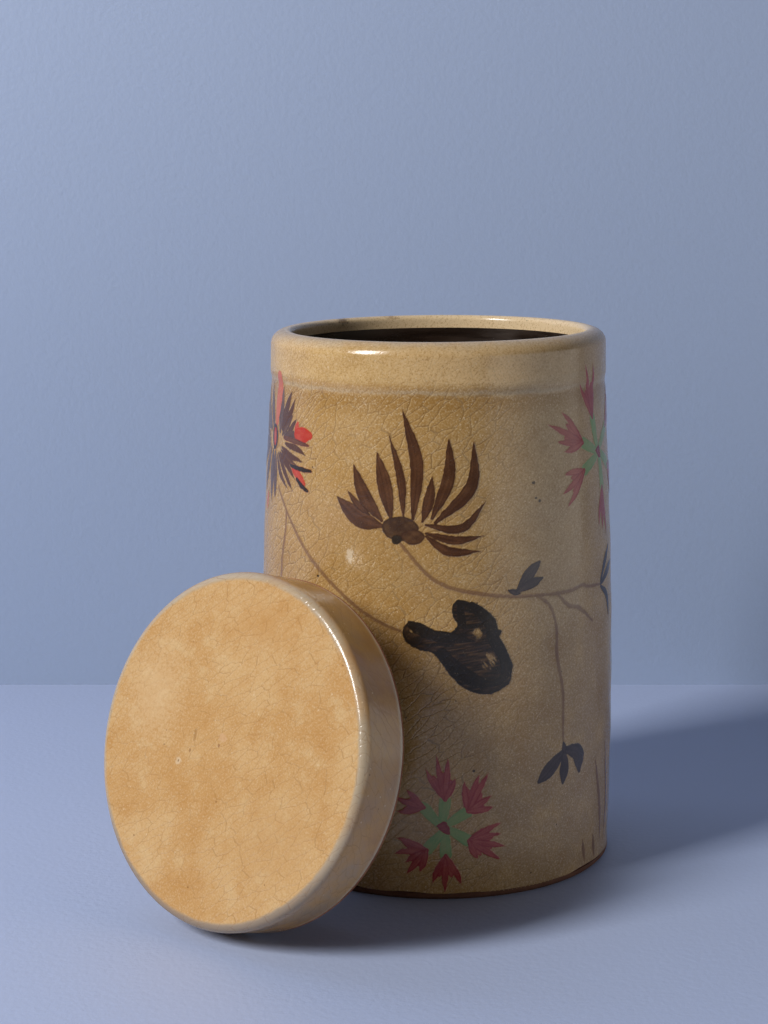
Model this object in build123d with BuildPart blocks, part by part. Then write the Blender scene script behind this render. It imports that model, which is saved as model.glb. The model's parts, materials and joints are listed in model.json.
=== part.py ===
"""A glazed stoneware storage jar with painted flowers, and its cap leaning against it.

Millimetres, +Z up. The origin is on the table under the middle of the jar's foot.
The side of the jar that carries the brown chrysanthemum faces -Y.
A place on the wall is (turn, height share): degrees round from -Y towards +X, and
a share of the jar's height. Sizes of painted shapes are shares of the jar's height too.
"""

import os
from math import cos, degrees, radians, sin, sqrt

from build123d import *

os.makedirs("parts", exist_ok=True)

# Jar, outside
jar_height = 210.0
belly_radius = 70.6
belly_height = 51.0
bulge_radius = 1950.0
foot_bevel = 1.0
neck_height = 188.0
groove_height = 4.5
groove_depth = 0.6
collar_radius = 66.2
rim_radius = 65.8
lip_rise = 5.5
lip_crest_radius = 59.7

# Jar, inside and underneath
mouth_radius = 57.5
lip_drop = 2.0
mouth_depth = 30.0
wall = 8.2
floor_thickness = 9.0
floor_corner = 14.0

# Glaze and paint
glaze = 0.6
glaze_line = 2.5
pale_band = 3.2
enamel = 0.25
enamel_lift = 0.02

# Lid
lid_radius = 64.4
lid_height = 21.0
lid_edge_radius = 3.2
lid_plate = 7.0
lid_glaze_line = 1.0
flange_clearance = 1.2
flange_wall = 5.5
flange_straight = 8.0
flange_depth = 24.0
flange_taper = 10.5
flange_bevel = 1.0
recess_corner = 6.0

# Where the lid leans on the jar
lid_turn = -40.4
lid_lean = 16.0
lid_shift = 5.3
lean_gap = 0.3

# Brown chrysanthemum: places along each stroke, and its width
chrysanthemum_facing = -10
chrysanthemum_strokes_shares = [
    ([(-19, 0.674), (-27, 0.687), (-35, 0.721)], 0.034),
    ([(-23, 0.693), (-27, 0.709), (-31, 0.734)], 0.013),
    ([(-19, 0.684), (-25, 0.727), (-29, 0.781)], 0.027),
    ([(-16, 0.689), (-18, 0.744), (-21, 0.806)], 0.027),
    ([(-12, 0.692), (-13, 0.761), (-17, 0.835)], 0.016),
    ([(-9, 0.690), (-8, 0.785), (-13, 0.884)], 0.024),
    ([(-6, 0.685), (-4, 0.723), (-3, 0.766)], 0.020),
    ([(-3, 0.691), (2, 0.762), (2, 0.835)], 0.023),
    ([(-2, 0.683), (9, 0.746), (10, 0.829)], 0.023),
    ([(-5, 0.679), (6, 0.673), (14, 0.721)], 0.016),
    ([(-5, 0.664), (4, 0.652), (13, 0.659)], 0.016),
    ([(-5, 0.659), (2, 0.633), (12, 0.632)], 0.017),
]
chrysanthemum_head_shares = [
    ((-13, 0.670), 0.035, 0.023),
    ((-9, 0.656), 0.021, 0.013),
    ((-13.5, 0.652), 0.012, 0.011),
]

# Spider flower: angle round its middle, start and reach of each stroke, and its width
spider_middle = (-73, 0.805)
spider_eye_shares = (0.011, 0.016)
spider_rays_shares = [
    (131, 0.028, 0.119, 0.014),
    (118, 0.028, 0.113, 0.016),
    (65, 0.028, 0.111, 0.022),
    (50, 0.028, 0.126, 0.024),
    (41, 0.030, 0.127, 0.020),
    (27, 0.050, 0.111, 0.014),
    (2, 0.040, 0.143, 0.022),
    (-9, 0.060, 0.136, 0.018),
    (-15, 0.040, 0.135, 0.018),
    (-41, 0.028, 0.136, 0.024),
    (-52, 0.040, 0.120, 0.018),
    (-76, 0.028, 0.118, 0.022),
    (-90, 0.028, 0.118, 0.018),
    (-106, 0.028, 0.118, 0.018),
    (-125, 0.028, 0.133, 0.016),
    (-143, 0.028, 0.121, 0.018),
    (-160, 0.028, 0.128, 0.018),
    (-178, 0.028, 0.116, 0.018),
    (165, 0.028, 0.126, 0.018),
    (148, 0.028, 0.118, 0.018),
]
spider_touches_shares = [
    (82, 0.035, 0.126, 0.020),
    (15, 0.085, 0.122, 0.014),
    (6, 0.099, 0.146, 0.026),
    (-28, 0.095, 0.152, 0.016),
    (-99, 0.122, 0.138, 0.012),
]

# Asters: how far out each petal is rooted, and the tips of its teeth as (angle, reach)
tooth_width_share = 0.024
arm_width_share = 0.018
aster_eye_share = 0.013
low_aster_middle = (1, 0.130)
low_aster_root_share = 0.052
low_aster_petals_shares = [
    (90, [(107, 0.116), (96, 0.136), (86, 0.130)]),
    (38, [(68, 0.107), (52, 0.130), (32, 0.109), (19, 0.102)]),
    (-28, [(-2, 0.113), (-12, 0.115), (-22, 0.134), (-32, 0.133)]),
    (-82, [(-97, 0.108), (-88, 0.120), (-73, 0.115)]),
    (-130, [(-162, 0.095), (-141, 0.110), (-127, 0.109), (-119, 0.104)]),
    (140, [(163, 0.089), (147, 0.102), (132, 0.096)]),
]
high_aster_middle = (65, 0.785)
high_aster_root_share = 0.068
high_aster_petals_shares = [
    (110, [(118, 0.147), (107, 0.172), (96, 0.165)]),
    (160, [(146, 0.155), (158, 0.175), (167, 0.144), (174, 0.123)]),
    (203, [(193, 0.128), (206, 0.146), (217, 0.148)]),
    (281, [(267, 0.136), (275, 0.150), (283, 0.164)]),
    (332, [(318, 0.140), (330, 0.162), (342, 0.150)]),
    (35, [(48, 0.150), (36, 0.170), (24, 0.152)]),
]

# Stems and twigs: places along each
stem_width_share = 0.007
stems_shares = [
    (-40, [(-65, 0.719), (-56, 0.665), (-44, 0.602), (-29, 0.538), (-19, 0.507), (-10, 0.489)]),
    (-60, [(-59, 0.680), (-59, 0.643), (-61, 0.568), (-60, 0.500)]),
    (0, [(-13, 0.650), (-5, 0.599), (1, 0.576), (10, 0.562), (22, 0.552), (32, 0.549)]),
    (45, [(31, 0.549), (44, 0.546), (51, 0.551), (55, 0.545), (64, 0.540)]),
    (40, [(31, 0.549), (36, 0.526), (38.5, 0.486), (39, 0.431), (41.5, 0.361), (42, 0.262)]),
    (45, [(39, 0.547), (44, 0.521), (49, 0.512), (57, 0.479)]),
]

# Bud sprigs: places along each stroke, and its width
buds_facing = 45
buds_strokes_shares = [
    ([(21, 0.563), (23, 0.559), (25, 0.556)], 0.012),
    ([(24, 0.560), (28, 0.588), (32, 0.609)], 0.022),
    ([(24, 0.560), (29, 0.571), (33, 0.579)], 0.018),
    ([(42, 0.252), (37, 0.226), (32, 0.205)], 0.024),
    ([(42.5, 0.250), (43, 0.218), (43, 0.190)], 0.018),
    ([(43, 0.256), (50, 0.243), (50, 0.203)], 0.026),
    ([(42, 0.268), (42.3, 0.260), (42.5, 0.248)], 0.012),
    ([(64, 0.545), (68, 0.576), (73, 0.604)], 0.016),
    ([(64, 0.540), (70, 0.554), (77, 0.570)], 0.018),
    ([(64, 0.536), (70, 0.512), (72, 0.474)], 0.016),
]

# Black gourd: places round its edge, and the openings in it
gourd_facing = 5
gourd_edge_shares = [
    (-10, 0.507), (-6, 0.504), (-2, 0.492), (3, 0.491), (4.8, 0.500), (3.6, 0.520), (4, 0.538),
    (6.5, 0.543), (10, 0.538), (14, 0.525), (17, 0.503), (17.8, 0.477), (19, 0.455), (22, 0.430),
    (22.4, 0.412), (21, 0.389), (17, 0.376), (12, 0.374), (7, 0.385), (3, 0.407), (0, 0.432),
    (-3, 0.450), (-7, 0.456), (-11, 0.470), (-12, 0.488),
]
gourd_openings_shares = [((11, 0.487), 0.010), ((14.5, 0.440), 0.012)]

# Grass by the foot: places along each stroke, and its width
grass_facing = 62
grass_strokes_shares = [
    ([(60, 0.217), (64, 0.140), (67, 0.035)], 0.012),
    ([(69, 0.235), (72, 0.130), (71, 0.028)], 0.011),
    ([(53, 0.068), (54, 0.045), (55, 0.019)], 0.009),
    ([(60, 0.066), (61, 0.042), (62, 0.016)], 0.011),
]

# The same flowers again on the side away from the chrysanthemum
back_chrysanthemum_shift = 190
back_aster_middle = (150, 0.215)
back_stem_shares = [(176, 0.650), (172, 0.560), (162, 0.450), (154, 0.360)]


def wall_radius(height):
    """Radius of the glazed wall at a height, on the one arc from foot to neck."""
    return belly_radius - bulge_radius + sqrt(bulge_radius**2 - (height - belly_height) ** 2)


def out_from_axis(turn):
    """Unit vector away from the jar's axis at a turn."""
    return Vector(sin(radians(turn)), -cos(radians(turn)), 0)


def along_wall(turn):
    """Unit vector round the wall at a turn, towards larger turns."""
    return Vector(cos(radians(turn)), sin(radians(turn)), 0)


neck_radius = wall_radius(neck_height)
collar_height = neck_height + groove_height
inner_foot_radius = wall_radius(0) - wall
lining_top = jar_height - lip_drop - pale_band
flange_radius = mouth_radius - flange_clearance
flange_end_radius = flange_radius - flange_taper


def strip(radius, height, mode=Mode.ADD):
    """Rectangle of a half section, from the axis to a radius and from zero to a height."""
    Rectangle(radius, height, align=(Align.MIN, Align.MIN), mode=mode)


def jar_outline(inset, mode=Mode.ADD):
    """Half section of the jar filled in below its mouth, its outside and lip drawn in by the inset."""
    foot_edge = (wall_radius(foot_bevel) - inset, foot_bevel)
    neck = (neck_radius - inset, neck_height)
    groove = (neck_radius - groove_depth - inset, neck_height + groove_height / 2)
    collar = (collar_radius - inset, collar_height)
    with BuildLine() as edge:
        Polyline((0, 0), (foot_edge[0] - foot_bevel, 0), foot_edge)
        ThreePointArc(foot_edge, (belly_radius - inset, belly_height), neck)
        ThreePointArc(neck, groove, collar)
        Line(collar, (rim_radius - inset, jar_height - lip_rise))
        EllipticalCenterArc(
            (lip_crest_radius, jar_height - lip_rise),
            rim_radius - lip_crest_radius - inset,
            lip_rise - inset,
            start_angle=0,
            arc_size=90,
        )
        EllipticalCenterArc(
            (lip_crest_radius, jar_height - lip_drop),
            lip_crest_radius - mouth_radius - inset,
            lip_drop - inset,
            start_angle=90,
            arc_size=90,
        )
        Polyline(
            (mouth_radius + inset, jar_height - lip_drop),
            (mouth_radius + inset, lining_top),
            (0, lining_top),
            (0, 0),
        )
    make_face(edge.edges(), mode=mode)


def cavity_outline(inset, mode=Mode.ADD):
    """Half section of the hollow up to the pale band, drawn in by the inset into the wall."""
    floor_edge = (inner_foot_radius + inset - floor_corner, floor_thickness - inset)
    inner_belly = (belly_radius - wall + inset, (belly_height + neck_height) / 2)
    mouth_foot = (mouth_radius + inset, jar_height - mouth_depth)
    with BuildLine() as edge:
        corner = JernArc(start=floor_edge, tangent=(1, 0), radius=floor_corner, arc_size=90)
        ThreePointArc(corner @ 1, inner_belly, mouth_foot)
        Polyline(
            mouth_foot,
            (mouth_radius + inset, lining_top),
            (0, lining_top),
            (0, floor_thickness - inset),
            floor_edge,
        )
    make_face(edge.edges(), mode=mode)


# Ochre crackle glaze: the outside from just above the foot, the lip and a band inside it
with BuildPart() as jar_glaze:
    with BuildSketch(Plane.XZ) as glaze_section:
        jar_outline(0)
        jar_outline(glaze, mode=Mode.SUBTRACT)
        strip(belly_radius, glaze_line, mode=Mode.SUBTRACT)
    revolve(axis=Axis.Z)

# Dark glaze that lines the hollow
with BuildPart() as jar_lining:
    with BuildSketch(Plane.XZ):
        cavity_outline(glaze)
        cavity_outline(0, mode=Mode.SUBTRACT)
    revolve(axis=Axis.Z)

# Clay of the jar, bare on its flat foot
with BuildPart() as jar_body:
    with BuildSketch(Plane.XZ):
        jar_outline(0)
        cavity_outline(glaze, mode=Mode.SUBTRACT)
        add(glaze_section.sketch_local, mode=Mode.SUBTRACT)
    revolve(axis=Axis.Z)

# The lid stands on the lowest point of its open rim, and the end of its flange leans on the wall
lid_axis = out_from_axis(lid_turn) * cos(radians(lid_lean)) + Vector(0, 0, sin(radians(lid_lean)))
lid_centre_height = lid_radius * cos(radians(lid_lean))
touch_radius = flange_end_radius - flange_bevel
touch_height = (
    lid_centre_height + touch_radius * cos(radians(lid_lean)) - flange_depth * sin(radians(lid_lean))
)
lid_reach = (
    wall_radius(touch_height)
    + lean_gap
    + flange_depth * cos(radians(lid_lean))
    + touch_radius * sin(radians(lid_lean))
)
lid_centre = (
    out_from_axis(lid_turn) * lid_reach
    + along_wall(lid_turn) * lid_shift
    + Vector(0, 0, lid_centre_height)
)
lid_plane = Plane(
    origin=lid_centre,
    x_dir=along_wall(lid_turn),
    z_dir=along_wall(lid_turn).cross(lid_axis),
)


def lid_outline(inset, mode=Mode.ADD):
    """Half section of the lid above its open rim, as if it were solid, drawn in by the inset."""
    side = lid_radius - inset
    with BuildLine() as edge:
        Polyline((0, lid_height - inset), (0, 0), (side, 0), (side, lid_height - lid_edge_radius))
        CenterArc(
            (lid_radius - lid_edge_radius, lid_height - lid_edge_radius),
            lid_edge_radius - inset,
            start_angle=0,
            arc_size=90,
        )
        Line((lid_radius - lid_edge_radius, lid_height - inset), (0, lid_height - inset))
    make_face(edge.edges(), mode=mode)


def flange_outline():
    """Half section of the flange that drops into the jar's mouth and draws in towards its end."""
    inner = flange_radius - flange_wall
    inner_end = flange_end_radius - flange_wall
    with BuildLine() as edge:
        Polyline(
            (inner, 0),
            (inner, -flange_straight),
            (inner_end, flange_bevel - flange_depth),
            (inner_end + flange_bevel, -flange_depth),
            (touch_radius, -flange_depth),
            (flange_end_radius, flange_bevel - flange_depth),
            (flange_radius, -flange_straight),
            (flange_radius, 0),
            close=True,
        )
    make_face(edge.edges())


def recess_outline(mode):
    """Half section of the hollow under the lid's plate, inside the flange, above the open rim."""
    inner = flange_radius - flange_wall
    ceiling = lid_height - lid_plate
    with BuildLine() as edge:
        corner = CenterArc(
            (inner - recess_corner, ceiling - recess_corner), recess_corner, start_angle=0, arc_size=90
        )
        Polyline(corner @ 1, (0, ceiling), (0, 0), (inner, 0), corner @ 0)
    make_face(edge.edges(), mode=mode)


# Ochre glaze over the lid's top and side
with BuildPart() as lid_glaze:
    with BuildSketch(lid_plane) as lid_glaze_section:
        lid_outline(0)
        lid_outline(glaze, mode=Mode.SUBTRACT)
        strip(lid_radius, lid_glaze_line, mode=Mode.SUBTRACT)
    revolve(axis=Axis(lid_centre, lid_axis))

# Clay of the lid, with its flange
with BuildPart() as lid_body:
    with BuildSketch(lid_plane):
        lid_outline(0)
        recess_outline(Mode.SUBTRACT)
        flange_outline()
        add(lid_glaze_section.sketch_local, mode=Mode.SUBTRACT)
    revolve(axis=Axis(lid_centre, lid_axis))

# Skin a hair off the glazed wall, from which every painted shape is cut
with BuildPart() as paint_skin:
    with BuildSketch(Plane.XZ):
        jar_outline(-enamel)
        jar_outline(-enamel_lift, mode=Mode.SUBTRACT)
        strip(belly_radius + enamel, glaze_line, mode=Mode.SUBTRACT)
        with Locations((0, jar_height - lip_rise)):
            strip(belly_radius, lip_rise + enamel, mode=Mode.SUBTRACT)
    revolve(axis=Axis.Z)


def facing_plane(turn):
    """Upright plane through the jar's axis that looks out at a turn."""
    return Plane(origin=(0, 0, 0), x_dir=along_wall(turn), z_dir=out_from_axis(turn))


def spot(facing, place):
    """Where a place on the wall falls on the plane that looks out at a turn."""
    turn, height_share = place
    height = height_share * jar_height
    return Vector(wall_radius(height) * sin(radians(turn - facing)), height)


def ray_end(middle, angle, reach_share):
    """Place at an angle and a distance round the middle of a flower."""
    turn, height_share = middle
    across = degrees(reach_share * jar_height * cos(radians(angle)) / wall_radius(height_share * jar_height))
    return (turn + across, height_share + reach_share * sin(radians(angle)))


def brush(facing, places, width_share, end_share=0):
    """One brush stroke along a few places, full width between its ends."""
    points = [spot(facing, place) for place in places]
    if len(points) == 2:
        points.insert(1, (points[0] + points[1]) / 2)
    left, right = [], []
    for k, point in enumerate(points):
        at_end = k in (0, len(points) - 1)
        ahead = points[min(k + 1, len(points) - 1)] - points[max(k - 1, 0)]
        half = (end_share if at_end else width_share) * jar_height / 2
        side = Vector(-ahead.Y, ahead.X).normalized() * half
        left.append(point + side)
        right.append(point - side)
    with BuildLine() as edge:
        Spline(*left)
        Spline(*right)
        if end_share > 0:
            Line(left[0], right[0])
            Line(left[-1], right[-1])
    make_face(edge.edges())


def dab(facing, place, across_share, up_share, mode=Mode.ADD):
    """Oval touch of the brush."""
    with Locations(spot(facing, place)):
        Ellipse(across_share * jar_height, up_share * jar_height, mode=mode)


def bake_on(*sketches, clear_of=()):
    """Raise sketches into the skin over the wall, clear of what is painted already."""
    for sketch in sketches:
        extrude(sketch, amount=belly_radius + enamel)
    add(paint_skin.part, mode=Mode.INTERSECT)
    for painted in clear_of:
        add(painted.part, mode=Mode.SUBTRACT)


def chrysanthemum(shift):
    """Petals and head of the brown chrysanthemum, turned round the jar by a shift."""
    facing = chrysanthemum_facing + shift
    with BuildSketch(facing_plane(facing)) as drawing:
        for places, width_share in chrysanthemum_strokes_shares:
            brush(facing, [(turn + shift, share) for turn, share in places], width_share)
        for (turn, share), across_share, up_share in chrysanthemum_head_shares:
            dab(facing, (turn + shift, share), across_share, up_share)
    return drawing.sketch


def brush_strokes(facing, strokes):
    """Separate brush strokes, each with its places and its width."""
    with BuildSketch(facing_plane(facing)) as drawing:
        for places, width_share in strokes:
            brush(facing, places, width_share)
    return drawing.sketch


def stem(facing, places):
    """Thin line of one width."""
    with BuildSketch(facing_plane(facing)) as drawing:
        brush(facing, places, stem_width_share, stem_width_share)
    return drawing.sketch


def rays(middle, strokes):
    """Straight strokes round the middle of a flower."""
    facing = middle[0]
    with BuildSketch(facing_plane(facing)) as drawing:
        for angle, start_share, reach_share, width_share in strokes:
            ends = [ray_end(middle, angle, share) for share in (start_share, reach_share)]
            brush(facing, ends, width_share)
    return drawing.sketch


def eye(middle, across_share, up_share):
    """Oval touch in the middle of a flower."""
    with BuildSketch(facing_plane(middle[0])) as drawing:
        dab(middle[0], middle, across_share, up_share)
    return drawing.sketch


def aster_petals(middle, root_share, petals):
    """Toothed petals of an aster, each a fan of strokes from one root."""
    facing = middle[0]
    with BuildSketch(facing_plane(facing)) as drawing:
        for root_angle, teeth in petals:
            root = ray_end(middle, root_angle, root_share)
            for angle, reach_share in teeth:
                brush(facing, [root, ray_end(middle, angle, reach_share)], tooth_width_share)
    return drawing.sketch


def aster_arms(middle, root_share, petals):
    """Straight arms from the eye of an aster to the root of each petal."""
    facing = middle[0]
    with BuildSketch(facing_plane(facing)) as drawing:
        for root_angle, _ in petals:
            brush(facing, [middle, ray_end(middle, root_angle, root_share)], arm_width_share, arm_width_share)
    return drawing.sketch


with BuildPart() as painted_chrysanthemum:
    bake_on(chrysanthemum(0))

with BuildPart() as painted_spider_touches:
    bake_on(rays(spider_middle, spider_touches_shares), eye(spider_middle, *spider_eye_shares))

with BuildPart() as painted_spider_flower:
    bake_on(rays(spider_middle, spider_rays_shares), clear_of=[painted_spider_touches])

with BuildPart() as low_aster_petals:
    low_petals = aster_petals(low_aster_middle, low_aster_root_share, low_aster_petals_shares)
    bake_on(low_petals, eye(low_aster_middle, aster_eye_share, aster_eye_share))

with BuildPart() as low_aster_arms:
    low_arms = aster_arms(low_aster_middle, low_aster_root_share, low_aster_petals_shares)
    bake_on(low_arms, clear_of=[low_aster_petals])

with BuildPart() as high_aster_petals:
    high_petals = aster_petals(high_aster_middle, high_aster_root_share, high_aster_petals_shares)
    bake_on(high_petals, eye(high_aster_middle, aster_eye_share, aster_eye_share))

with BuildPart() as high_aster_arms:
    high_arms = aster_arms(high_aster_middle, high_aster_root_share, high_aster_petals_shares)
    bake_on(high_arms, clear_of=[high_aster_petals])

with BuildPart() as painted_gourd:
    with BuildSketch(facing_plane(gourd_facing)) as gourd_drawing:
        with BuildLine():
            Spline(*[spot(gourd_facing, place) for place in gourd_edge_shares], periodic=True)
        make_face()
        for place, size_share in gourd_openings_shares:
            dab(gourd_facing, place, size_share, size_share, mode=Mode.SUBTRACT)
    extrude(amount=belly_radius + enamel)
    add(paint_skin.part, mode=Mode.INTERSECT)

with BuildPart() as painted_buds:
    bake_on(brush_strokes(buds_facing, buds_strokes_shares))

with BuildPart() as painted_grass:
    bake_on(brush_strokes(grass_facing, grass_strokes_shares))

with BuildPart() as painted_stems:
    stems = [stem(facing, places) for facing, places in stems_shares]
    bake_on(*stems, clear_of=[painted_chrysanthemum, painted_spider_flower, painted_gourd, painted_buds])

with BuildPart() as back_chrysanthemum:
    bake_on(chrysanthemum(back_chrysanthemum_shift))

with BuildPart() as back_aster_petals:
    back_petals = aster_petals(back_aster_middle, low_aster_root_share, low_aster_petals_shares)
    bake_on(back_petals, eye(back_aster_middle, aster_eye_share, aster_eye_share))

with BuildPart() as back_aster_arms:
    back_arms = aster_arms(back_aster_middle, low_aster_root_share, low_aster_petals_shares)
    bake_on(back_arms, clear_of=[back_aster_petals])

with BuildPart() as back_stem:
    bake_on(stem(back_stem_shares[1][0], back_stem_shares), clear_of=[back_chrysanthemum, back_aster_petals])

pieces = {
    "jar_body": jar_body,
    "jar_glaze": jar_glaze,
    "jar_lining": jar_lining,
    "lid_body": lid_body,
    "lid_glaze": lid_glaze,
    "painted_chrysanthemum": painted_chrysanthemum,
    "painted_spider_flower": painted_spider_flower,
    "painted_spider_touches": painted_spider_touches,
    "low_aster_petals": low_aster_petals,
    "low_aster_arms": low_aster_arms,
    "high_aster_petals": high_aster_petals,
    "high_aster_arms": high_aster_arms,
    "painted_gourd": painted_gourd,
    "painted_buds": painted_buds,
    "painted_grass": painted_grass,
    "painted_stems": painted_stems,
    "back_chrysanthemum": back_chrysanthemum,
    "back_aster_petals": back_aster_petals,
    "back_aster_arms": back_aster_arms,
    "back_stem": back_stem,
}
for name, piece in pieces.items():
    piece.part.label = name
    export_step(piece.part, f"parts/{name}.step")

# Where the lid tips over, on the lowest line of its side, for the record
pivot_share = 1 / (1 + sin(radians(lid_lean)))
rim_low = lid_centre - Vector(0, 0, lid_radius * cos(radians(lid_lean)))
rim_low += out_from_axis(lid_turn) * (lid_radius * sin(radians(lid_lean)))
pivot = rim_low + lid_axis * (lid_height * pivot_share)
print("lid centre", lid_centre, "axis", lid_axis)
print("pivot", pivot, "turning about", along_wall(lid_turn))
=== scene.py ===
"""A glazed stoneware storage jar with painted flowers, its lid leaning against it.

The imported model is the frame: origin on the table under the jar's foot, +Z up, the brown
chrysanthemum facing -Y. Shapes are worked out in millimetres and made in metres. A place on the
wall is (turn, height share): degrees round from -Y towards +X, and a share of the jar's height.
"""

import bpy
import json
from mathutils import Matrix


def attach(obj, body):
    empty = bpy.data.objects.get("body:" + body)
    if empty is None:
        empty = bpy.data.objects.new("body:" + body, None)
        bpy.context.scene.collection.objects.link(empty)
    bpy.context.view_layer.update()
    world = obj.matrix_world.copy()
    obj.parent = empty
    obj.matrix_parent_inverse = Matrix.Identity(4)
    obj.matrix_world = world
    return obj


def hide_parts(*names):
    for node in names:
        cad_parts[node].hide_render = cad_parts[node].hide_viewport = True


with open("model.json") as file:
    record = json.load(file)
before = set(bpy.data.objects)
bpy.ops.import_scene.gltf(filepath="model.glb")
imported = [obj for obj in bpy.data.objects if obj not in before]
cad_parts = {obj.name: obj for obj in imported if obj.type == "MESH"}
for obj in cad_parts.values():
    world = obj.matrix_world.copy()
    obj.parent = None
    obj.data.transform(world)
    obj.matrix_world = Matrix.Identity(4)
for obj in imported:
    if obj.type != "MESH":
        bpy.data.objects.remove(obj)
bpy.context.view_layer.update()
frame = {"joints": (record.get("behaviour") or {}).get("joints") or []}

import json
from math import cos, degrees, pi, radians, sin

import bpy
import numpy as np
from mathutils import Matrix, Vector

mm = 0.001
jar_height = 210.0
belly_radius = 70.6
belly_height = 51.0
bulge_radius = 1950.0
foot_bevel = 1.0
neck_height = 188.0
groove_height = 4.5
groove_depth = 0.32
groove_reach = 2.2
collar_radius = 66.2
rim_radius = 65.8
lip_rise = 5.5
lip_crest_radius = 59.7
mouth_radius = 57.5
lip_drop = 2.0
mouth_depth = 30.0
wall = 8.2
floor_thickness = 9.0
floor_corner = 14.0
glaze = 0.6
glaze_line = 2.5
pale_band = 3.2

lid_radius = 64.4
lid_height = 21.0
lid_edge_radius = 3.2
lid_plate = 7.0
lid_glaze_line = 1.0
lid_rim_bevel = 0.3
flange_clearance = 1.2
flange_wall = 5.5
flange_straight = 8.0
flange_depth = 24.0
flange_taper = 10.5
flange_bevel = 1.0
recess_corner = 6.0

turn_steps = 480
plain_turn_steps = 240
rim_tilt = 0.9
ripple_depth = 0.10
ripple_spacing = 4.3
dent_depth = 0.12
lid_swell = 0.10
foot_glaze_wave = 0.9
paint_pitch = 0.25
paint_lift = 0.03
paint_body = 0.09
paint_layer = 0.012

collar_height = neck_height + groove_height
lining_top = jar_height - lip_drop - pale_band
flange_radius = mouth_radius - flange_clearance
flange_end_radius = flange_radius - flange_taper


# Shapes in numbers


def smooth(value, low, high):
    """Soft step from 0 at low to 1 at high."""
    t = np.clip((value - low) / (high - low), 0, 1)
    return t * t * (3 - 2 * t)


def lattice(i, j, seed):
    """Repeatable value from -1 to 1 at a point of a whole-number lattice."""
    value = np.sin(i * 127.1 + j * 311.7 + seed * 74.7) * 43758.5453
    return 2 * (value - np.floor(value)) - 1


def noise(x, y, seed):
    """Smooth noise from -1 to 1 with features one unit across."""
    i, j = np.floor(x), np.floor(y)
    u, v = smooth(x - i, 0, 1), smooth(y - j, 0, 1)
    low = lattice(i, j, seed) * (1 - u) + lattice(i + 1, j, seed) * u
    high = lattice(i, j + 1, seed) * (1 - u) + lattice(i + 1, j + 1, seed) * u
    return low * (1 - v) + high * v


def ring_noise(turn, height, waves, seed):
    """Noise round the jar that closes on itself: a few waves a turn, and some change with height."""
    total = 0
    for k in range(3):
        count = waves + 2 * k
        phase = 2 * pi * lattice(k, seed, 3) + height / (23 + 9 * k)
        total = total + np.sin(np.radians(turn) * count + phase) / (k + 1)
    return total / 1.8


def wall_radius(height):
    """Radius of the glazed wall at a height, on the one arc from foot to neck."""
    return belly_radius - bulge_radius + np.sqrt(bulge_radius**2 - (height - belly_height) ** 2)


def outside_radius(height):
    """Radius of the glazed outside below the lip, with the soft groove under the collar."""
    share = (height - collar_height) / (jar_height - lip_rise - collar_height)
    collar = collar_radius + (rim_radius - collar_radius) * share
    blend = smooth(height, neck_height - 2, collar_height + 2)
    groove = groove_depth * np.exp(-(((height - neck_height - groove_height / 2) / groove_reach) ** 2))
    return wall_radius(height) * (1 - blend) + collar * blend - groove


def arc(centre, across, up, start, stop, count):
    """Points on an arc of an ellipse, by angle in degrees."""
    angles = np.radians(np.linspace(start, stop, count))
    return [(centre[0] + across * cos(a), centre[1] + up * sin(a)) for a in angles]


def line(start, stop, step):
    """Points on a straight line, a step apart, with both ends."""
    count = max(2, int(np.hypot(stop[0] - start[0], stop[1] - start[1]) / step) + 1)
    return [tuple(point) for point in np.linspace(start, stop, count)]


def outside_points(low, inset, step):
    """Points up the outside from a height to the lip, drawn in by an inset."""
    high = jar_height - lip_rise
    plain = np.linspace(low, neck_height - 6, max(2, int((neck_height - 6 - low) / step) + 1))
    fine = np.linspace(neck_height - 6, high, max(2, int(3 * (high - neck_height + 6) / step) + 1))
    return [(outside_radius(h) - inset, h) for h in np.append(plain, fine[1:])]


def lip_points(inset):
    """Points over the lip into the mouth, drawn in by an inset."""
    outer = arc((lip_crest_radius, jar_height - lip_rise),
                rim_radius - lip_crest_radius - inset, lip_rise - inset, 0, 90, 16)
    inner = arc((lip_crest_radius, jar_height - lip_drop),
                lip_crest_radius - mouth_radius - inset, lip_drop - inset, 90, 180, 10)
    return outer[1:] + inner[1:]


def cavity_points(inset, step):
    """Points down the hollow from the pale band to the middle of the floor, drawn into the wall."""
    inner_foot = wall_radius(0) - wall + inset
    corner = (inner_foot - floor_corner, floor_thickness - inset + floor_corner)
    top = (mouth_radius + inset, jar_height - mouth_depth)
    middle = (belly_radius - wall + inset, (belly_height + neck_height) / 2)
    heights = np.linspace(top[1], corner[1], 40)
    three = np.polyfit([corner[1], middle[1], top[1]], [inner_foot, middle[0], top[0]], 2)
    side = [(np.polyval(three, h), h) for h in heights]
    bend = arc(corner, floor_corner, floor_corner, 0, -90, 12)
    return (line((mouth_radius + inset, lining_top), top, step)[:-1] + side + bend[1:]
            + line(bend[-1], (0, floor_thickness - inset), 4)[1:])


def warp_jar(turn, radius, height):
    """Small unevenness of the thrown jar: ripples drawn in, and a rim lower on the left."""
    up = smooth(height, neck_height, jar_height)
    lean = (1 - np.sin(np.radians(turn))) / 2
    ripple = ripple_depth * (1 + np.sin(height / ripple_spacing + 0.8 * ring_noise(turn, height, 1, 5)))
    dent = dent_depth * (1 + ring_noise(turn, height, 3, 9))
    fade = smooth(height, 0, 8) * smooth(radius, 30, 50)
    return radius - (ripple + dent) * fade, height - rim_tilt * up * lean


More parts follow.
